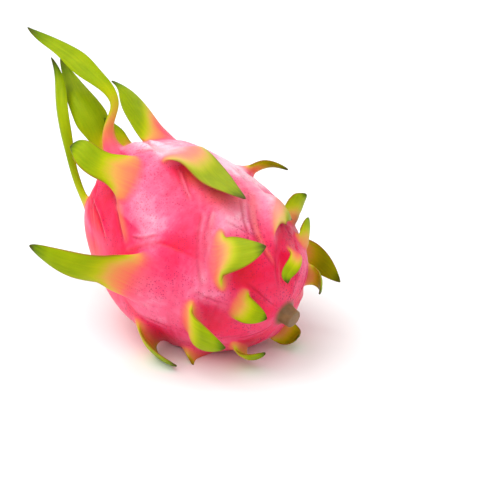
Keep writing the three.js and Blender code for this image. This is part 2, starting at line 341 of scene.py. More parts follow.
@dataclass(frozen=True)
class LightAndTonePatch:
    """A soft-edged patch of the peel's tone that is paler, or deeper where the strength is
    negative.

    On the front the pale patches are mostly painted highlights and the deep ones mostly painted
    shade, partly also the peel's own uneven tone; those on the hidden sides are the peel's own
    uneven tone. warm is how orange it is in its middle, an orange tint painted into the shade
    under the top flap.
    """

    station: float
    turn: float
    length: float
    width: float
    strength: float
    warm: float = 0.0


# Painted highlights and painted shade on the front, partly the peel's own uneven tone; orange tint
# painted into the shade under the top flap; the peel's own uneven tone on the hidden sides.
LIGHT_AND_TONE_PATCHES = [
    LightAndTonePatch(*numbers)
    for numbers in (
        (-2, 54, 12, 12, 0.48), (-30, 20, 9, 11, 0.3), (24, 8, 16, 5, 0.46), (24, -4, 9, 10, 0.3),
        (-16, -24, 9, 8, 0.2), (33, 88, 14, 5, 0.5), (14, 46, 8, 10, 0.16), (-20, 62, 13, 18, -0.3),
        (24, 68, 12, 8, 0.04), (-16, 40, 9, 14, -0.12), (10, 24, 10, 9, -0.06),
        (-52, 44, 12, 16, -0.1), (-6, 16, 9, 9, 0.1), (-2, 13, 10, 5, -0.1, 0.6),
        (-16, 13, 10, 6, -0.1, 0.5), (0, -14, 12, 6, 0.4), (3, -33, 18, 10, 0.8),
        (-46, -14, 8, 8, -0.1), (-20, 6, 9, 8, -0.1, 0.45), (-30, -80, 18, 20, 0.25),
        (18, -70, 18, 22, -0.2), (0, 150, 22, 24, -0.25), (10, 220, 20, 20, 0.2),
    )
]


@dataclass(frozen=True)
class Fold:
    """A fine fold of the peel along a line through places given by station and turn.

    A low ridge runs along it with a groove on one side, and both fade out at its ends. The groove
    gets painted shade and the ridge a painted highlight. warm is how orange the ridge is.
    """

    line: tuple[Span, ...]
    height: float = 0.4
    width: float = 0.9
    side: int = 1
    warm: float = 0.0
    groove_place: float = 1.4
    groove_share: float = 0.7
    groove_depth: float = 0.8
    # How much paler the ridge is painted: a painted highlight.
    pale_and_painted_light: float = 0.12
    fade: float = 0.2

    def reach(self, peel: "Peel", station: Array, angle: Array) -> tuple[Array, Array]:
        """Measures points of the peel from the line.

        Args:
            peel: The body, which says how far apart two turns lie.
            station: The points' stations.
            angle: Their angles round the axis, in radians.

        Returns:
            How far each point lies from the line, above 0 on its left, and how much of the
            fold is there, from 0 beyond its ends to 1 in its middle.
        """
        middle, turn = self.line[len(self.line) // 2]
        aside = peel.aside(angle, turn, middle)
        joints = [(at, float(peel.aside(np.radians(to), turn, middle))) for at, to in self.line]
        nearest = np.full(station.shape, 1e9)
        share = np.zeros(station.shape)
        pieces = len(joints) - 1
        for number, (start, end) in enumerate(zip(joints, joints[1:])):
            run = np.subtract(end, start)
            length = np.hypot(*run)
            along = ((station - start[0]) * run[0] + (aside - start[1]) * run[1]) / length**2
            off = ((station - start[0]) * run[1] - (aside - start[1]) * run[0]) / length
            past = (along - np.clip(along, 0, 1)) * length
            distance = np.hypot(off, past)
            closer = distance < np.abs(nearest)
            nearest = np.where(closer, np.where(off < 0, -distance, distance), nearest)
            share = np.where(closer, (number + np.clip(along, 0, 1)) / pieces, share)
        return nearest, smooth(np.minimum(share, 1 - share) / self.fade)


FOLDS = [
    Fold(((34, 43), (22.8, 53), (14.8, 62), (4, 73)), 0.9, 1.6, 1, 1.0),
    Fold(((50, 58), (41, 64), (30, 70), (18, 80)), 0.7, 1.3, 1),
    Fold(((5, 76), (-1, 69), (-13, 55)), 0.7, 1.0, 1, 0.2),
    Fold(((6, 66), (0, 63), (-8, 54)), 0.3, 0.8, 1),
    Fold(((16, 7), (2.3, 18), (-4.3, 23), (-11, 28)), 0.6, 1.0, 1, 0.2),
    Fold(((12, 11), (0, 21), (-8, 27)), 0.4, 0.8, -1),
    Fold(((-18, 26), (-21, 31), (-26, 42), (-31, 52), (-36, 62), (-41, 70)), 0.7, 1.2, 1, 0.1),
    Fold(((-20, 19), (-24.5, 30), (-30, 41), (-35, 51), (-40, 60)), 0.5, 1.0, 1, 0.3),
    Fold(((-20, -14), (-28, -3), (-35, 5), (-42, 10), (-49, 12), (-57, 10)), 0.8, 1.1, 1, 0.7),
    Fold(((-20, -6), (-27, 4), (-34, 11), (-42, 16)), 0.4, 0.9, 1),
    Fold(((-40, -36), (-48, -24), (-54, -8)), 0.6, 0.9, 1, 0.2),
    Fold(((0, -30), (-8, -24), (-17, -20), (-28, -14)), 0.8, 1.0, 1),
    Fold(((0, -20), (-9, -16), (-18, -13)), 0.5, 0.9, -1),
    Fold(((34, 22), (28, 12), (18, 6), (8, 6)), 0.4, 1.0, 1, 0.2),
]


@dataclass
class Patch:
    """A closed surface on a grid of rings, with what the materials read at each of its points.

    leaf runs from 0 on the peel to 1 at a scale's tip, margin from 0 at a scale's middle line
    to 1 at its edge, pale_and_painted_light is how pale the peel is, partly its own colour and
    partly painted highlight and painted shade, painted_crease_shade is the painted shade in a
    groove, red is painted shade that deepens the colour in hollows and under and beside scales,
    warm how orange, partly painted into shade, and dry marks the stem and the scar.
    """

    rings: Array
    first_point: Array
    last_point: Array
    traits: dict[str, Array]

    def points(self) -> Array:
        """All points in millimetres: the first end, the rings in order, and the last end."""
        return np.vstack([self.first_point, self.rings.reshape(-1, 3), self.last_point])

    def point_traits(self, names: list[str]) -> list[Array]:
        """The named traits at all points, each end taking the mean of the ring next to it."""
        grids = [self.traits[name] for name in names]
        ends = [([grid[0].mean()], [grid[-1].mean()]) for grid in grids]
        return [np.concatenate([a, grid.ravel(), b]) for grid, (a, b) in zip(grids, ends)]

    def mesh_object(self, name: str) -> Thing:
        """Makes a Blender object of the patch: quads between rings and a fan at each end.

        Args:
            name: The object's name.

        Returns:
            The object, linked to the scene and in metres.
        """
        count, around = self.rings.shape[:2]
        j = np.arange(around)
        k = (j + 1) % around
        ring = 1 + np.arange(count - 1)[:, None] * around
        quads = np.stack([ring + j, ring + around + j, ring + around + k, ring + k], axis=-1)
        last_ring = 1 + (count - 1) * around
        start = np.stack([np.zeros_like(j), 1 + j, 1 + k], axis=-1)
        end = np.stack([last_ring + j, np.full_like(j, last_ring + around), last_ring + k], axis=-1)
        faces = [*quads.reshape(-1, 4).tolist(), *start.tolist(), *end.tolist()]
        return add_mesh(name, self.points(), faces)


@dataclass
class Peel:
    """The egg-shaped body: two superellipse halves that meet at the belt, with low relief.

    A sweep runs over it from 0 at the stem to half a turn at the crown. Its sine is the share
    of the full radius, and the station is the half length times the superellipse's root of
    what that sine leaves. Sizes are in millimetres. Shares and places of grooves, welts and
    cushions are told in widths of their ridge or root.
    """

    lie: Lie
    scales: list[Scale]
    light_and_tone_patches: list[LightAndTonePatch]
    folds: list[Fold]
    # How much paler the peel is where its cushions stand proud: partly its own paler colour, partly
    # a painted highlight.
    pale_share: float = 0.2
    radius: float = 45.5
    stem_half_length: float = 66.0
    crown_half_length: float = 58.0
    stem_roundness: float = 2.0
    crown_roundness: float = 2.2
    wave_height: float = 0.7
    waves_round: int = 3
    wave_twist: float = 0.04
    wave_length: float = 30.0
    flank_station: float = 33.0
    flank_turn: float = 98.0
    flank_depth: float = 4.0
    flank_length: float = 17.0
    flank_spread: float = 22.0
    cushion_height: float = 1.6
    cushion_length: float = 17.0
    cushion_offset: float = 9.0
    cushion_share: float = 0.55
    ridge_height: float = 0.5
    ridge_width: float = 0.8
    ridge_length: float = 26.0
    ridge_start: float = 3.0
    ridge_rise: float = 5.0
    ridge_full: float = 8.0
    ridges_part: float = 0.4
    ridges_close: float = 0.1
    groove_place: float = 1.5
    groove_share: float = 0.8
    groove_depth: float = 0.9
    panel_height: float = 0.5
    panel_edge: float = 3.0
    panel_length: float = 20.0
    # Painted shade, a deeper red, in a strip beside the edges of a forward scale's root and under
    # its blade.
    painted_shade_strength: float = 0.9
    shade_panel_edge: float = 2.0
    shade_panel_width: float = 11.0
    hollow_depth: float = 0.9
    hollow_place: float = 8.0
    hollow_length: float = 9.0
    hollow_share: float = 0.85
    welts: tuple[float, ...] = (4.0, 7.5, 11.0)
    welt_strength: float = 0.4
    welt_share: float = 0.9
    welt_spread: float = 1.5
    welt_bend: float = 0.006
    rim_radius: float = 17.0
    rim_lip: float = 2.5
    rim_round: float = 1.5
    lip_height: float = 0.4
    crater_depth: float = 8.0
    crater_rings: int = 40
    scar_radius: float = 7.5
    scar_height: float = 1.6
    scar_edge: float = 3.0
    scar_middle: float = 0.04
    scar_spread: float = 3.0
    stem_radius: float = 4.6
    stem_length: float = 6.5
    stem_sink: float = 1.5
    stem_edge: float = 0.8
    stem_flare: float = 0.12
    stem_cover: float = 1.7
    stem_rings: int = 6
    shaft_gap: float = 0.6
    shaft_rings: int = 8
    dimple_radius: float = 12.0
    dimple_depth: float = 1.6
    relief_fade: float = 0.6
    marks_fade: float = 0.5
    around: int = 320
    along: int = 200
    fine_turn: float = 35.0
    fine_share: float = 0.4

    def station(self, sweep: Array) -> Array:
        """The place along the axis at a sweep."""
        to_stem = sweep < np.pi / 2
        power = np.where(to_stem, self.stem_roundness, self.crown_roundness)
        sine = np.maximum(np.sin(sweep), 1e-9)
        share = np.maximum(0.0, 1.0 - sine**power) ** (1.0 / power)
        return np.where(to_stem, -self.stem_half_length * share, self.crown_half_length * share)

    def sweep_at(self, station: float) -> float:
        """The sweep at a place along the axis."""
        to_stem = station < 0
        half = self.stem_half_length if to_stem else self.crown_half_length
        power = self.stem_roundness if to_stem else self.crown_roundness
        sweep = float(np.arcsin((1 - (abs(station) / half) ** power) ** (1 / power)))
        return sweep if to_stem else np.pi - sweep

    def aside(self, angle: Array, turn: float, station: float) -> Array:
        """How far angles lie from a turn in degrees, along the peel at a station."""
        apart = angle - np.radians(turn)
        nearest = np.arctan2(np.sin(apart), np.cos(apart))
        return nearest * self.radius * np.sin(self.sweep_at(station))

    def local(self, scale: Scale, sweep: Array, angle: Array) -> tuple[Array, Array]:
        """Where points of the peel lie as seen from a scale's root, turned with its skew.

        Args:
            scale: The scale.
            sweep: The points' sweeps.
            angle: Their angles round the axis, in radians.

        Returns:
            How far each point is from the root towards the stem, and how far across from its
            middle, both in millimetres.
        """
        stemward = scale.at - self.station(sweep)
        aside = self.aside(angle, scale.turn, scale.at)
        cos, sin = np.cos(scale.skew), np.sin(scale.skew)
        return stemward * cos + aside * sin, aside * cos - stemward * sin

    def relief(self, sweep: Array, angle: Array) -> Array:
        """How far the peel stands proud of the egg.

        Args:
            sweep: The points' sweeps.
            angle: Their angles round the axis, in radians.

        Returns:
            The height in millimetres: low waves, a bell-shaped hollow in one flank, and a
            bell-shaped cushion behind each scale.
        """
        station = self.station(sweep)
        turned = self.waves_round * angle + self.wave_twist * station
        height = self.wave_height * np.cos(turned) * np.cos(station / self.wave_length)
        along = (station - self.flank_station) / self.flank_length
        aside = self.aside(angle, self.flank_turn, self.flank_station) / self.flank_spread
        height = height - self.flank_depth * bell(along, aside)
        for scale in self.scales:
            ahead = scale.heading * (station - scale.at)
            along = (ahead + self.cushion_offset) / self.cushion_length
            aside = self.aside(angle, scale.turn, scale.at) / (self.cushion_share * scale.root)
            height = height + self.cushion_height * bell(along, aside)
        return height * smooth(np.sin(sweep) / self.relief_fade)

    def marks(self, sweep: Array, angle: Array) -> dict[str, Array]:
        """The fine relief round the scales' roots, and what colours the peel there.

        Each scale's two edges run on over the peel towards the stem as low ridges with a
        groove outside them. A scale that has bent back leaves a hollow under it and a few
        curved welts on its crown side. Every line is a bell across its own width.

        Args:
            sweep: The points' sweeps.
            angle: Their angles round the axis, in radians.

        Returns:
            fine: the height in millimetres. painted_crease_shade: the painted shade in a groove.
            red: painted shade, a deeper colour in hollows, under scales and beside their roots.
            warm: how orange it is, partly an orange tint painted into shade.
                pale_and_painted_light:
                how pale the peel is where it stands proud, partly its own paler colour and partly a
                painted highlight, with the painted highlights and painted shade of its tone
                patches.
        """
        station = self.station(sweep)
        # Paler where the peel stands proud: partly its own paler colour, partly a painted highlight
        # on the raised cushions.
        pale_and_painted_light = self.pale_share * self.relief(sweep, angle) / self.cushion_height
        fine, painted_crease_shade, red, warm = (np.zeros_like(pale_and_painted_light) for _ in range(4))
        for scale in self.scales:
            stemward, across = self.local(scale, sweep, angle)
            half = scale.root / 2
            forward = scale.heading > 0
            reach = np.clip(stemward, 0.0, self.ridge_length)
            part = self.ridges_part if forward else -self.ridges_close
            outside = np.abs(across) - half - part * reach
            fading = (stemward - self.ridge_full) / (self.ridge_length - self.ridge_full)
            window = smooth((stemward + self.ridge_start) / self.ridge_rise) * (1 - smooth(fading))
            strength = scale.ridge * window
            ridge, groove = ridge_and_groove(
                outside, self.ridge_width, self.groove_place, self.groove_share
            )
            groove = groove * strength
            fine = fine + self.ridge_height * (ridge * strength - self.groove_depth * groove)
            # Painted shade in the groove outside each ridge.
            painted_crease_shade = np.maximum(painted_crease_shade, groove)
            if forward:
                inside = smooth(0.5 - outside / self.panel_edge) * window
                fine = fine + self.panel_height * inside * bell(stemward / self.panel_length)
                # Painted shade: a deeper red on the peel in a strip beside the root's edges and
                # under the blade.
                beside = 1 - smooth(0.5 - outside / self.shade_panel_edge)
                shade_panel = beside * bell(outside / self.shade_panel_width) * window
                under = bell((stemward + self.hollow_place) / self.hollow_length, across / half)
                red = np.maximum(red, np.maximum(shade_panel, under) * self.painted_shade_strength)
            else:
                along = (stemward - self.hollow_place) / self.hollow_length
                hollow = np.exp(-(along**2) - (across / (self.hollow_share * half)) ** 4)
                fine = fine - self.hollow_depth * hollow
                # The hollow also gets painted shade: a deeper red.
                red = np.maximum(red, hollow)
                crownward = -stemward - self.welt_bend * across**2
                for place in self.welts:
                    line = bell((crownward - place) / (self.welt_share * self.ridge_width))
                    line = line * np.exp(-((across / (self.welt_spread * half)) ** 4))
                    fine = fine - self.welt_strength * self.ridge_height * line
                    # Painted shade in each welt.
                    painted_crease_shade = np.maximum(painted_crease_shade, self.welt_strength * line)
        # Tone patches: painted highlights, painted shade with an orange tint under the top flap,
        # and the peel's own uneven tone.
        for light_and_tone_patch in self.light_and_tone_patches:
            along = (station - light_and_tone_patch.station) / light_and_tone_patch.length
            spot = bell(along, self.aside(angle, light_and_tone_patch.turn, light_and_tone_patch.station) / light_and_tone_patch.width)
            pale_and_painted_light = pale_and_painted_light + light_and_tone_patch.strength * spot
            warm = np.maximum(warm, light_and_tone_patch.warm * spot)
        for fold in self.folds:
            off, share = fold.reach(self, station, angle)
            place = fold.groove_place * fold.side
            ridge, groove = ridge_and_groove(off, fold.width, place, fold.groove_share)
            ridge, groove = ridge * share, groove * share
            fine = fine + fold.height * (ridge - fold.groove_depth * groove)
            # Painted shade in the fold's groove; below, its ridge is orange where warm is set and
            # gets a painted highlight.
            painted_crease_shade = np.maximum(painted_crease_shade, groove)
            warm = np.maximum(warm, fold.warm * ridge)
            pale_and_painted_light = pale_and_painted_light + fold.pale_and_painted_light * ridge
        fade = smooth(np.sin(sweep) / self.marks_fade)
        return {
            "fine": fine * fade,
            "painted_crease_shade": painted_crease_shade * fade,
            "red": np.clip(red, 0, 1) * fade,
            "warm": warm * fade,
            "pale_and_painted_light": pale_and_painted_light,
        }

    def surface(self, sweep: Array, angle: Array, lift: Array = 0.0) -> Array:
        """Points on the peel, raised by its relief and a lift square to it.

        Args:
            sweep: The points' sweeps.
            angle: Their angles round the axis, in radians.
            lift: How far they stand above the peel.

        Returns:
            The points in millimetres.
        """
        height = self.relief(sweep, angle) + lift
        station = self.station(sweep) - height * np.cos(sweep)
        out = (self.radius + height) * np.sin(sweep)
        along = self.lie.belt + station[..., None] * self.lie.axis
        return along + out[..., None] * self.lie.outwards(angle)

    def patch(self) -> Patch:
        """The whole body with its stem and crater, as one closed patch.

        The outline runs from the stem's cut face over the egg to the scar. In the crater the
        depth is eased from the rim's radius to the scar's, and the scar is a low dome.

        Returns:
            The patch.
        """
        foot = -self.stem_half_length + self.stem_sink
        rounding = np.linspace(0.0, np.pi / 2, self.stem_rings)
        stem_out = self.stem_radius - self.stem_edge * (1 - np.sin(rounding))
        stem_station = foot - self.stem_length + self.stem_edge * (1 - np.cos(rounding))
        shaft = np.linspace(0.0, 1.0, self.shaft_rings)
        shaft_ends = stem_station[-1] + self.shaft_gap, foot - self.shaft_gap
        shaft_station = np.linspace(*shaft_ends, self.shaft_rings)
        shaft_out = self.stem_radius * (1 + self.stem_flare * smooth(shaft))

        first = np.arcsin(self.stem_radius * self.stem_cover / self.radius)
        last = np.pi - np.arcsin(self.rim_radius / self.radius)
        sweep = np.linspace(first, last, self.along)
        out = self.radius * np.sin(sweep)
        dimple = self.dimple_depth * bell(out / self.dimple_radius) * (sweep < np.pi / 2)

        inner = np.linspace(1.0, self.scar_middle, self.crater_rings)[1:]
        crater_out = self.rim_radius * inner
        rim = self.station(np.array([last]))[0]
        top = self.rim_radius - self.rim_round
        wall = smooth((top - crater_out) / (top - self.scar_radius))
        lip = self.lip_height * bell((self.rim_radius - crater_out) / self.rim_lip)
        dome = self.scar_height * smooth((self.scar_radius - crater_out) / self.scar_edge)
        crater_station = rim + lip - self.crater_depth * wall + dome

        egg_station = self.station(sweep) + dimple
        station = np.concatenate([stem_station, shaft_station, egg_station, crater_station])
        radius = np.concatenate([stem_out, shaft_out, out, crater_out])
        stem_count = len(stem_station) + len(shaft_station)
        crater_count = len(crater_station)
        sweeps = np.concatenate([np.full(stem_count, first), sweep, np.full(crater_count, last)])
        hold = np.concatenate([np.zeros(stem_count), np.ones(self.along), inner**3])

        even = 2 * np.pi * np.arange(self.around) / self.around
        angle = np.radians(self.fine_turn) + even - self.fine_share * np.sin(even)
        grid_sweep = sweeps[:, None] + 0 * angle
        grid_angle = angle + 0 * grid_sweep
        marks = self.marks(grid_sweep, grid_angle)
        height = (self.relief(grid_sweep, grid_angle) + marks.pop("fine")) * hold[:, None]
        along = station[:, None] - height * np.cos(grid_sweep)
        reach = radius[:, None] + height * np.sin(grid_sweep)
        rings = self.lie.belt + along[..., None] * self.lie.axis
        rings = rings + reach[..., None] * self.lie.outwards(grid_angle)
        scar = smooth((1 - inner) * self.scar_spread)
        dry = np.concatenate([np.ones(stem_count), np.zeros(self.along), scar])
        traits = {
            **marks,
            "leaf": np.zeros_like(height),
            "margin": np.zeros_like(height),
            "dry": dry[:, None] + 0 * height,
            "vein_across": along,
            "vein_along": (grid_angle - np.pi) * self.radius,
        }
        ends = [self.lie.belt + end * self.lie.axis for end in (station[0], station[-1])]
        return Patch(rings, *ends, traits)


@dataclass
class ScaleShape:
    """The surface of a scale, from its buried root to its tip.

    The rings start as a wide root that hugs the peel, draw in to the blade's lens-shaped
    section and follow the blade's bent middle line.
    """

    peel: Peel
    root_sink: float = 0.7
    root_plug: float = 5.0
    root_thickness: float = 3.6
    tip_thickness: float = 1.1
    thinning: float = 0.6
    tip_gap: float = 0.015
    tip_fullness: float = 0.75
    neck_share: float = 0.8
    root_flare: float = 2.2
    ripple_height: float = 0.5
    ripple_pace: float = 4.5
    cup_level: float = 0.4
    groove_depth: float = 0.35
    groove_width: float = 1.1
    around: int = 40
    root_rings: int = 16
    fewest_rings: int = 14
    rings_per_mm: float = 0.8
    fine_steps: int = 400
    ripening: float = 4.0
    ripening_share: float = 0.16
    ripe_leaf: float = 0.8
    tip_start: float = 0.75
    vein_start: float = 200.0

    def direction(self, scale: Scale, place: Array) -> Array:
        """The blade's unit direction at places along it, from its splay and sway."""
        lie = self.peel.lie
        turn = np.radians(scale.turn)
        splay = np.radians(keyed(scale.splay, place))[:, None]
        sway = np.radians(keyed(scale.sway, place))[:, None]
        ahead = np.cos(splay) * lie.axis + np.sin(splay) * lie.outwards(turn)
        return np.cos(sway) * ahead + np.sin(sway) * lie.outwards(turn + np.pi / 2)

    def middle_line(self, scale: Scale, root: Array, place: Array) -> Array:
        """The middle line's points: the running sum of short steps along its direction.

        Args:
            scale: The scale.
            root: Where the line starts.
            place: The places from 0 to 1 to read it at.

        Returns:
            One point for each place.
        """
        edges = np.linspace(0.0, 1.0, self.fine_steps + 1)
        steps = self.direction(scale, (edges[1:] + edges[:-1]) / 2) * scale.length / self.fine_steps
        line = root + np.vstack([np.zeros(3), np.cumsum(steps, axis=0)])
        return np.stack([np.interp(place, edges, line[:, k]) for k in range(3)], axis=1)

    def half_width(self, scale: Scale, place: Array, flare: Array) -> Array:
        """Half the blade's width: its neck eases to the full width, its point closes it, and
        near the root it flares to the root's own half width.

        Args:
            scale: The scale.
            place: The places from 0 to 1 along it.
            flare: How much of the root's width is there, from 1 at the root to 0.

        Returns:
            Half the width at each place.
        """
        start = self.neck_share * scale.share
        spread = mix(scale.neck, 1.0, smooth((place - start) / (scale.widest - start)))
        outline = (1 - place**scale.point) ** self.tip_fullness * spread
        return mix(scale.width / 2 * outline, scale.root / 2, flare)

    def patch(self, scale: Scale) -> Patch:
        """The scale's closed surface.

        Args:
            scale: The scale.

        Returns:
            The patch, which starts under the peel and ends at the tip.
        """
        lie = self.peel.lie
        turn = np.radians(scale.turn)
        radial = lie.outwards(turn)
        round_way = lie.outwards(turn + np.pi / 2)
        sweep = self.peel.sweep_at(scale.at)
        reach = self.peel.radius * np.sin(sweep)
        root = self.peel.surface(np.array(sweep), np.array(turn))
        skew = scale.skew
        across = np.cos(skew) * round_way + np.sin(skew) * lie.axis

        blade_rings = max(self.fewest_rings, int(scale.length * self.rings_per_mm))
        near = scale.share * np.arange(self.root_rings) / self.root_rings
        blade = 1 - self.tip_gap - scale.share
        far = scale.share + blade * np.sin(np.linspace(0, np.pi / 2, blade_rings))
        place = np.concatenate([near, far])
        centre = self.middle_line(scale, root, place)
        ahead = self.direction(scale, place)
        side = across - (ahead @ across)[:, None] * ahead
        side = side / np.linalg.norm(side, axis=1)[:, None]
        thick = np.cross(side, ahead)

        settled = smooth(place / scale.share)
        flare = (1 - np.minimum(1.0, place / scale.share)) ** self.root_flare
        half = self.half_width(scale, place, flare)
        thickness = mix(self.root_thickness, self.tip_thickness, place**self.thinning) / 2
        angle = 2 * np.pi * np.arange(self.around) / self.around
        a, b = np.cos(angle), np.sin(angle)
        settled_grid = settled[:, None]
        wide = half[:, None] * a
        ripple = np.sin(place * scale.length / self.ripple_pace + scale.turn)
        ripple = self.ripple_height * settled * ripple
        bend = (scale.cup * half * settled)[:, None] * (a * a - self.cup_level)
        bend = bend + ripple[:, None] * a**3 * 0.5
        groove = -self.groove_depth * settled_grid * bell(wide / self.groove_width)
        rise = thickness[:, None] * b + bend + groove * np.maximum(0, b)
        blade = centre[:, None] + side[:, None] * wide[..., None]
        blade = blade + thick[:, None] * rise[..., None]

        run = np.where(scale.heading * b > 0, scale.front, scale.back)
        along = b * mix(thickness[:, None], run, flare[:, None])
        lift = (centre - root) @ radial * (1 - flare) - self.root_sink * flare
        lift = lift[:, None] + 0 * along
        foot_sweep = sweep + (along * np.cos(skew) + wide * np.sin(skew)) / self.peel.radius
        foot_angle = turn + (wide * np.cos(skew) - along * np.sin(skew)) / reach
        foot = self.peel.surface(foot_sweep, foot_angle, lift)
        rings = mix(foot, blade, settled_grid[..., None])
        marks = self.peel.marks(foot_sweep, foot_angle)
        turning = self.ripening + self.ripening_share * scale.length
        sooner = scale.vee * (a**4 - self.cup_level) + scale.lean * a
        sooner = place[:, None] + sooner * settled_grid
        ripe = smooth(0.5 + (sooner - scale.blush) * scale.length / (2 * turning))
        ripest = smooth((place - self.tip_start) / (1 - self.tip_start))[:, None]
        leaf = mix(scale.coral * settled_grid, self.ripe_leaf, ripe)
        bare = 1 - settled_grid
        traits = {
            # The peel's painted shade and painted highlights run on over the scale's buried foot
            # and fade out up the blade; on the blade itself the paleness is the scale's own pale
            # pink.
            **{name: marks[name] * bare for name in ("painted_crease_shade", "red", "warm")},
            "pale_and_painted_light": mix(np.full_like(along, scale.pale), marks["pale_and_painted_light"], bare),
            "leaf": leaf + (1 - self.ripe_leaf) * ripest,
            "margin": scale.rim * np.abs(a) ** 3 * settled_grid,
            "dry": 0 * along,
            "vein_across": wide + self.vein_start + scale.turn,
            "vein_along": (place * scale.length)[:, None] + 0 * along,
        }
        plug = root - radial * self.root_plug
        tip = centre[-1] + ahead[-1] * scale.length * self.tip_gap
        return Patch(rings, plug, tip, traits)


class Join(Enum):
    """How a Boolean joins two solids."""

    UNION = "UNION"
    DIFFERENCE = "DIFFERENCE"


@dataclass
class FruitMesh:
    """Joins the body and its scales into one mesh and softens the joins."""

    peel: Peel
    shape: ScaleShape
    soften_reach: float = 2.2
    soften_rounds: int = 12
    blend_reach: float = 3.2
    blend_rounds: int = 16
    draw: float = 0.6
    new_point: float = 0.01
    rest_height: float = 0.05
    floor_half: float = 200.0
    floor_depth: float = 60.0
    patches: list[Patch] = field(default_factory=list)

    def union(self) -> Thing:
        """Makes every patch an object, joins them all and cuts the result flat where it rests.

        Returns:
            The joined object, with its modifiers applied.
        """
        shapes = [self.shape.patch(scale) for scale in self.peel.scales]
        self.patches = [self.peel.patch(), *shapes]
        fruit = self.patches[0].mesh_object("fruit_skin")
        scales = [patch.mesh_object(f"scale_{number}") for number, patch in enumerate(shapes)]
        self.boolean(fruit, scales, Join.UNION)
        self.boolean(fruit, [self.floor_block()], Join.DIFFERENCE)
        return fruit

    def boolean(self, target: Thing, tools: list[Thing], how: Join) -> None:
        """Applies one Boolean to the target and removes the tools.

        Args:
            target: The object that is changed.
            tools: The objects that it is joined with or cut by.
            how: Whether they are joined to it or cut from it.
        """
        group = bpy.data.collections.new("tools")
        for tool in tools:
            group.objects.link(tool)
        modifier = target.modifiers.new("join", "BOOLEAN")
        modifier.operation = how.value
        modifier.solver = "MANIFOLD"
        modifier.operand_type = "COLLECTION"
        modifier.collection = group
        graph = bpy.context.evaluated_depsgraph_get()
        joined = bpy.data.meshes.new_from_object(target.evaluated_get(graph))
        target.modifiers.clear()
        old, target.data = target.data, joined
        bpy.data.meshes.remove(old)
        for tool in tools:
            tool_mesh = tool.data
            bpy.data.objects.remove(tool)
            bpy.data.meshes.remove(tool_mesh)
        bpy.data.collections.remove(group)

    def floor_block(self) -> Thing:
        """A block under the resting plane, which cuts the flat resting spot."""
        half = self.floor_half
        low, high = np.array([-half, -half, -self.floor_depth]), np.array([half, half, 0.0])
        corners = np.array([[x, y, z] for z in (0, 1) for y in (0, 1) for x in (0, 1)])
        sides = [(0, 2, 3, 1), (4, 5, 7, 6), (0, 1, 5, 4), (2, 6, 7, 3), (0, 4, 6, 2), (1, 3, 7, 5)]
        return add_mesh("floor_cut", low + (high - low) * corners, sides)

    def nearest(self, targets: Array, points: Array) -> tuple[Array, Array]:
        """Finds the nearest target of each point.

        Args:
            targets: The points to look among.
            points: The points to look from.

        Returns:
            The index of each point's nearest target, and its distance.
        """
        tree = KDTree(len(targets))
        for index, target in enumerate(targets):
            tree.insert(target, index)
        tree.balance()
        found = [tree.find(point)[1:] for point in points]
        index, distance = zip(*found)
        return np.array(index), np.array(distance)

    def spread(self, mesh: bpy.types.Mesh, values: Array, pull: Array, rounds: int) -> Array:
        """Draws values at the mesh's points to the mean of their neighbours', a few times over.

        Args:
            mesh: The mesh, whose edges say which points are neighbours.
            values: One row for each point.
            pull: How strongly each point is drawn, from 0 to 1.
            rounds: How many times.

        Returns:
            The eased values.
        """
        edges = np.empty(len(mesh.edges) * 2, dtype=np.int32)
        mesh.edges.foreach_get("vertices", edges)
        first, second = edges.reshape(-1, 2).T
        size = len(values)
        count = np.bincount(first, minlength=size) + np.bincount(second, minlength=size)
        count = np.maximum(count, 1)[:, None]
        for _ in range(rounds):
            total = np.empty_like(values)
            for k, column in enumerate(values.T):
                total[:, k] = np.bincount(first, column[second], size)
                total[:, k] += np.bincount(second, column[first], size)
            values = mix(values, total / count, self.draw * pull[:, None])
        return values

    def build(self) -> Thing:
        """Builds the fruit's mesh with its traits stored at its points.

        Returns:
            The finished object.
        """
        fruit = self.union()
        mesh = fruit.data
        points = np.empty((len(mesh.vertices), 3))
        mesh.vertices.foreach_get("co", points.ravel())
        points = points / MILLIMETRE
        sources = np.vstack([patch.points() for patch in self.patches])
        index, distance = self.nearest(sources, points)
        raised = points[:, 2] > self.rest_height
        seam = points[(distance > self.new_point) & raised]
        _, away = self.nearest(seam, points)
        pull = bell(away / self.soften_reach) * raised
        eased = self.spread(mesh, points, pull, self.soften_rounds)
        mesh.vertices.foreach_set("co", (eased * MILLIMETRE).ravel())

        names = list(self.patches[0].traits)
        columns = [np.stack(patch.point_traits(names), axis=1) for patch in self.patches]
        traits = np.concatenate(columns)[index]
        pull = bell(away / self.blend_reach)
        blended = self.spread(mesh, traits, pull, self.blend_rounds)
        for k, name in enumerate(names):
            values = traits[:, k] if name.startswith("vein") else blended[:, k]
            mesh.attributes.new(name, "FLOAT", "POINT").data.foreach_set("value", values)
        mesh.polygons.foreach_set("use_smooth", np.ones(len(mesh.polygons), dtype=bool))
        mesh.update()
        counts = len(points), len(mesh.polygons), len(seam)
        log.info("%s: %d points, %d faces, %d seam points", fruit.name, *counts)
        return fruit


@dataclass(frozen=True)
class Noise:
    """Cloudy noise: its scale and detail, and how far it moves what it is added to. With a
    stretch it lies along the scales and the body, drawn out where the stretch is below 1."""

    scale: float
    detail: float
    amount: float = 1.0
    stretch: float = 0.0


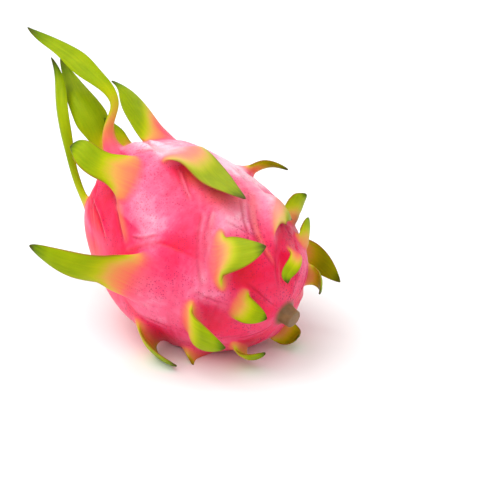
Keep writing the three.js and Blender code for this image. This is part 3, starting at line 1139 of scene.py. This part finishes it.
@dataclass(frozen=True)
class PeelFinish:
    """The waxy peel: pink, paler where it stands proud partly by its own colour and partly by a
    painted highlight, deeper in painted shade, and scales that turn to green.

    A pair named for the peel and the blade holds the number on each of them. A Map turns the
    first span of numbers into the second in a straight line.
    """

    tones: Stops = (
        (0.0, (232, 8, 44)), (0.2, (242, 20, 76)), (0.4, (240, 52, 102)),
        (0.6, (242, 92, 134)), (0.8, (245, 140, 170)), (1.0, (250, 198, 214)),
    )
    blade: Stops = (
        (0.0, (240, 66, 100)), (0.12, (238, 96, 92)), (0.26, (232, 136, 84)),
        (0.40, (220, 164, 76)), (0.52, (202, 180, 48)), (0.66, (176, 184, 8)),
        (0.80, (140, 161, 4)), (0.92, (100, 128, 0)), (1.0, (66, 74, 20)),
    )
    speck: Colour = (172, 10, 76)
    # The colour of the painted shade in the grooves.
    groove: Colour = (176, 8, 48)
    # The orange of the ridges, and of the tint painted into the shade under the top flap.
    warmth: Colour = (244, 124, 74)
    rim: Colour = (150, 66, 36)
    blush: Colour = (220, 148, 142)
    scar: Colour = (150, 118, 76)
    scar_dark: Colour = (96, 70, 44)
    base_tone: float = 0.38
    clouds: Noise = Noise(30.0, 4.0, 0.5)
    mottle: Noise = Noise(260.0, 3.0, 0.34)
    peel_streaks: Noise = Noise(0.9, 3.0, 0.1, 0.05)
    # How far the tone falls in the red mark's painted shade.
    painted_shade_depth: float = 0.32
    specks: tuple[Span, ...] = ((640.0, 0.2), (1050.0, 0.27))
    speck_share: float = 0.75
    speck_clusters: Map = ((0.4, 0.62), (0.2, 1.0))
    speck_fade: Map = ((0.45, 0.9), (1.0, 0.4))
    warm_share: float = 0.75
    # How strongly the grooves' painted shade shows.
    groove_share: float = 0.6
    blade_start: Map = ((0.02, 0.16), (0.0, 1.0))
    edge_lead: float = 0.3
    lead_fade: Map = ((0.4, 0.75), (1.0, 0.0))
    blush_rise: Map = ((0.28, 0.6), (0.0, 1.0))
    blush_fade: Map = ((0.2, 0.75), (0.9, 0.1))
    rim_rise: Map = ((0.7, 1.0), (0.0, 1.0))
    rim_fade: Map = ((0.75, 0.98), (0.8, 0.2))
    blade_streaks: Noise = Noise(0.9, 3.0, 0.14, 0.07)
    blotches: Noise = Noise(70.0, 2.0, 0.16)
    scar_grain: Noise = Noise(300.0, 3.0)
    pores: Noise = Noise(1100.0, 3.0, 0.5)
    lumps: Noise = Noise(160.0, 3.0, 1.6)
    streak_rise: Map = ((0.0, 0.3), (0.3, 1.0))
    bump_strength: float = 0.35
    bump_depth: float = 0.0004
    roughness: float = 0.42
    coat_roughness: float = 0.28
    depth_scale: float = 0.006
    depth_colours: Triple = (1.0, 0.25, 0.2)
    specular_peel_blade: Span = (0.22, 0.05)
    depth_peel_blade: Span = (0.3, 0.06)
    coat_peel_blade: Span = (0.1, 0.0)

    def peel_colour(self, w: "Wiring", place: Socket) -> Socket:
        """The pink peel: its tone rises where it is paler and with painted highlights and falls
        with painted shade in hollows and under and beside scales, broken up by clouds and fine
        streaks, with scattered dark specks, an orange tint partly painted into shade, and painted
        shade in the grooves.

        Args:
            w: The material's wiring.
            place: The place on the fruit.

        Returns:
            The colour.
        """
        tone = w.add(w.trait("pale_and_painted_light"), self.base_tone)
        for kind in (self.clouds, self.mottle, self.peel_streaks):
            tone = w.stir(tone, place, kind)
        # Painted shade: the tone falls in hollows and under and beside scales.
        tone = w.math("SUBTRACT", tone, w.times(w.trait("red"), self.painted_shade_depth))
        colour = w.ramp(tone, self.tones)
        coarse, fine = (w.speckles(place, *sizes) for sizes in self.specks)
        specks = w.times(w.math("MAXIMUM", coarse, fine), self.speck_share)
        clusters = w.span(w.noise(place, self.blotches), *self.speck_clusters)
        specks = w.times(w.times(specks, clusters), w.span(tone, *self.speck_fade))
        colour = w.blend(specks, colour, linear(*self.speck))
        # An orange tint on the ridges, partly painted into the shade under the top flap.
        colour = w.blend(w.times(w.trait("warm"), self.warm_share), colour, linear(*self.warmth))
        # Painted shade in the grooves.
        groove = w.times(w.trait("painted_crease_shade"), self.groove_share)
        return w.blend(groove, colour, linear(*self.groove))

    def blade_colour(self, w: "Wiring", place: Socket) -> Socket:
        """The scales: coral at the root, then orange, yellow and green, further on at the
        edges than in the middle, with streaks along the blade, a blush of pale pink where the
        scale is pale and a thin warm rim.

        Args:
            w: The material's wiring.
            place: The place on the fruit.

        Returns:
            The colour.
        """
        leaf, margin = w.trait("leaf"), w.trait("margin")
        lead = w.times(w.times(margin, self.edge_lead), w.span(leaf, *self.lead_fade))
        ripe = w.add(leaf, lead)
        for kind in (self.blade_streaks, self.blotches):
            ripe = w.stir(ripe, place, kind)
        colour = w.ramp(ripe, self.blade)
        pale = w.span(w.trait("pale_and_painted_light"), *self.blush_rise)
        pale = w.times(pale, w.span(leaf, *self.blush_fade))
        colour = w.blend(pale, colour, linear(*self.blush))
        rim = w.times(w.span(margin, *self.rim_rise), w.span(leaf, *self.rim_fade))
        return w.blend(rim, colour, linear(*self.rim))

    def material(self) -> bpy.types.Material:
        """Builds the shader from the traits stored at the mesh's points.

        Returns:
            The material.
        """
        made = bpy.data.materials.new("waxy_peel")
        made.use_nodes = True
        shader = made.node_tree.nodes["Principled BSDF"]
        w = Wiring(made.node_tree)
        place = w.node("ShaderNodeTexCoord").outputs["Object"]
        on_blade = w.span(w.trait("leaf"), *self.blade_start)
        colour = w.blend(on_blade, self.peel_colour(w, place), self.blade_colour(w, place))
        grain = w.noise(place, self.scar_grain)
        dry = w.blend(grain, linear(*self.scar), linear(*self.scar_dark))

        bump = w.node("ShaderNodeBump")
        relief = (self.pores, self.lumps)
        pores, lumps = (w.times(w.noise(place, kind), kind.amount) for kind in relief)
        leafy = w.span(w.trait("leaf"), *self.streak_rise)
        streaks = w.times(w.noise(place, self.blade_streaks), leafy)
        w.put(bump.inputs["Height"], w.add(w.add(pores, lumps), streaks))
        w.put(bump.inputs["Strength"], self.bump_strength)
        w.put(bump.inputs["Distance"], self.bump_depth)

        settings = {
            "Base Color": w.blend(w.trait("dry"), colour, dry),
            "Roughness": self.roughness,
            "Specular IOR Level": w.span(on_blade, UNIT, self.specular_peel_blade),
            "Subsurface Weight": w.span(on_blade, UNIT, self.depth_peel_blade),
            "Subsurface Radius": self.depth_colours,
            "Subsurface Scale": self.depth_scale,
            "Coat Weight": w.span(on_blade, UNIT, self.coat_peel_blade),
            "Coat Roughness": self.coat_roughness,
            "Normal": bump.outputs["Normal"],
        }
        for name, value in settings.items():
            w.put(shader.inputs[name], value)
        return made


@dataclass
class Wiring:
    """Short ways to add shader nodes to a material's tree. A speck's soft edge is told in cells."""

    tree: bpy.types.NodeTree
    speck_edge: float = 0.12

    def node(self, kind: str) -> bpy.types.Node:
        """Adds a node of a kind."""
        return self.tree.nodes.new(kind)

    def put(self, socket: Socket, value: object) -> None:
        """Links a socket to another node's output, or sets it to a number or a colour."""
        if isinstance(value, Socket):
            self.tree.links.new(value, socket)
        else:
            socket.default_value = value

    def fill(self, kind: str, inputs: dict[str, object]) -> bpy.types.Node:
        """Adds a node of a kind and puts a value or a link into each named input."""
        made = self.node(kind)
        for name, value in inputs.items():
            self.put(made.inputs[name], value)
        return made

    def trait(self, name: str) -> Socket:
        """A number stored at the mesh's points."""
        read = self.node("ShaderNodeAttribute")
        read.attribute_name = name
        return read.outputs["Fac"]

    def math(self, operation: str, *values: object) -> Socket:
        """The result of a sum with up to three inputs."""
        made = self.node("ShaderNodeMath")
        made.operation = operation
        for socket, value in zip(made.inputs, values):
            self.put(socket, value)
        return made.outputs["Value"]

    def add(self, first: object, second: object) -> Socket:
        """Two numbers added."""
        return self.math("ADD", first, second)

    def times(self, first: object, second: object) -> Socket:
        """Two numbers multiplied."""
        return self.math("MULTIPLY", first, second)

    def noise(self, place: Socket, kind: Noise) -> Socket:
        """Noise of a kind. Where it has a stretch, the vein coordinates stored at the mesh's
        points take the place's part.

        Args:
            place: The place on the fruit.
            kind: The noise's sizes.

        Returns:
            The noise, from 0 to 1.
        """
        if kind.stretch:
            along = self.times(self.trait("vein_along"), kind.stretch)
            joined = self.fill("ShaderNodeCombineXYZ", {"X": self.trait("vein_across"), "Y": along})
            place = joined.outputs["Vector"]
        inputs = {"Scale": kind.scale, "Detail": kind.detail, "Vector": place}
        return self.fill("ShaderNodeTexNoise", inputs).outputs["Fac"]

    def stir(self, value: Socket, place: Socket, kind: Noise) -> Socket:
        """A value moved by noise, to both sides and by the noise's amount in all."""
        noise = self.noise(place, kind)
        return self.add(value, self.math("MULTIPLY_ADD", noise, kind.amount, -kind.amount / 2))

    def speckles(self, place: Socket, scale: float, size: float) -> Socket:
        """Scattered round specks of mixed sizes: near the middle of a Voronoi cell the value is
        1, out to a radius that each cell's random colour sets.

        Args:
            place: The place on the fruit.
            scale: How many cells there are to a metre.
            size: The specks' mean radius in cells.

        Returns:
            1 on a speck and 0 between them.
        """
        cells = self.fill("ShaderNodeTexVoronoi", {"Scale": scale, "Vector": place})
        split = self.fill("ShaderNodeSeparateColor", {"Color": cells.outputs["Color"]})
        radius = self.times(split.outputs["Red"], 2 * size)
        gap = self.math("SUBTRACT", radius, cells.outputs["Distance"])
        return self.span(gap, (0.0, self.speck_edge), UNIT)

    def ramp(self, value: Socket, stops: Stops) -> Socket:
        """A colour ramp.

        Args:
            value: Where to read it.
            stops: Its places and their colours in screen values, the first two at the ends.

        Returns:
            The colour at the value.
        """
        made = self.fill("ShaderNodeValToRGB", {"Fac": value})
        elements = made.color_ramp.elements
        for number, (place, colour) in enumerate(stops):
            stop = elements[number] if number < 2 else elements.new(place)
            stop.position = place
            stop.color = linear(*colour)
        return made.outputs["Color"]

    def span(self, value: Socket, source: Span, target: Span) -> Socket:
        """A straight map from one span of numbers to another, held outside it."""
        names = ("From Min", "From Max", "To Min", "To Max")
        inputs = {**dict(zip(names, source + target)), "Value": value}
        return self.fill("ShaderNodeMapRange", inputs).outputs["Result"]

    def blend(self, share: object, first: object, second: object) -> Socket:
        """Mixes two colours, the first at share 0 and the second at share 1."""
        made = self.node("ShaderNodeMix")
        made.data_type = "RGBA"
        for number, value in ((0, share), (6, first), (7, second)):
            self.put(made.inputs[number], value)
        return made.outputs[2]


@dataclass
class Fruit:
    """The whole dragon fruit: its mesh and its finish."""

    lie: Lie = field(default_factory=Lie)
    finish: PeelFinish = field(default_factory=PeelFinish)

    def build(self) -> Thing:
        scales = SHOWN_SCALES + [scale for row in ROWS for scale in row.scales()]
        peel = Peel(self.lie, scales, LIGHT_AND_TONE_PATCHES, FOLDS)
        fruit = FruitMesh(peel, ScaleShape(peel)).build()
        fruit.data.materials.clear()
        fruit.data.materials.append(self.finish.material())
        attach(fruit, BODY)
        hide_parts(NODE)
        return fruit


@dataclass
class Studio:
    """The pale floor, the soft light and the camera at the photograph's viewing angle."""

    aim: Triple = (0.029, -0.0027, 0.0441)
    elevation: float = 24.0
    distance: float = 0.95
    focal_pixels: float = 1900.0
    image_pixels: float = 500.0
    sensor: float = 36.0
    nearest: float = 0.01
    floor_half: float = 3000.0
    floor_grey: float = 0.92
    floor_roughness: float = 0.9
    floor_specular: float = 0.1
    surround: float = 0.7
    sky_way: Triple = (0.25, 0.3, -0.9)
    sky_power: float = 1.6
    sky_spread: float = 85.0
    key_place: Triple = (-0.3, 0.1, 0.7)
    key_aim: Triple = (0.0, 0.0, 0.05)
    key_power: float = 2.2
    key_size: float = 0.6

    def camera(self) -> None:
        """Places the camera: it looks along +Y and down by the elevation."""
        tilt = np.radians(self.elevation)
        back = Vector((0.0, -np.cos(tilt), np.sin(tilt)))
        right = Vector((1.0, 0.0, 0.0))
        data = bpy.data.cameras.new("camera")
        data.sensor_width = self.sensor
        data.lens = self.sensor * self.focal_pixels / self.image_pixels
        data.clip_start = self.nearest
        camera = add_object("camera", data)
        turned = Matrix((right, back.cross(right), back)).transposed().to_4x4()
        place = Vector(self.aim) + back * self.distance
        camera.matrix_world = Matrix.Translation(place) @ turned
        bpy.context.scene.camera = camera

    def floor(self) -> None:
        """Lays a plain pale floor at the resting plane."""
        half = self.floor_half
        corners = [(-half, -half, 0), (half, -half, 0), (half, half, 0), (-half, half, 0)]
        floor = add_mesh("floor", corners, [(0, 1, 2, 3)])
        material = bpy.data.materials.new("pale_floor")
        material.use_nodes = True
        inputs = material.node_tree.nodes["Principled BSDF"].inputs
        inputs["Base Color"].default_value = (*[self.floor_grey] * 3, 1.0)
        inputs["Roughness"].default_value = self.floor_roughness
        inputs["Specular IOR Level"].default_value = self.floor_specular
        floor.data.materials.append(material)

    def add_light(self, name: str, kind: str, power: float, way: Vector) -> Thing:
        """Adds a light that shines one way.

        Args:
            name: The light's name.
            kind: AREA for a square lamp, or SUN for even light from far away.
            power: Its power in watts, or for a sun in watts a square metre.
            way: The direction in which it shines.

        Returns:
            The light.
        """
        data = bpy.data.lights.new(name, kind)
        data.energy = power
        light = add_object(name, data)
        light.rotation_euler = way.to_track_quat("-Z", "Y").to_euler()
        return light

    def light(self) -> None:
        """Sets a bright white surround, wide even light from above, which leaves the floor
        equally bright, and a square key lamp at the upper left."""
        world = bpy.data.worlds.new("surround")
        world.use_nodes = True
        background = world.node_tree.nodes["Background"].inputs
        background["Color"].default_value = (1.0, 1.0, 1.0, 1.0)
        background["Strength"].default_value = self.surround
        bpy.context.scene.world = world
        sky = self.add_light("sky", "SUN", self.sky_power, Vector(self.sky_way))
        sky.data.angle = np.radians(self.sky_spread)
        way = Vector(self.key_aim) - Vector(self.key_place)
        key = self.add_light("key", "AREA", self.key_power, way)
        key.data.size = self.key_size
        key.location = self.key_place
        bpy.context.scene.view_settings.view_transform = "Standard"

    def build(self) -> None:
        """Builds the whole studio."""
        self.camera()
        self.floor()
        self.light()


def main() -> None:
    """Builds the studio and the fruit."""
    logging.basicConfig(level=logging.INFO, format="%(name)s: %(message)s")
    Studio().build()
    Fruit().build()


if __name__ == "__main__":
    main()
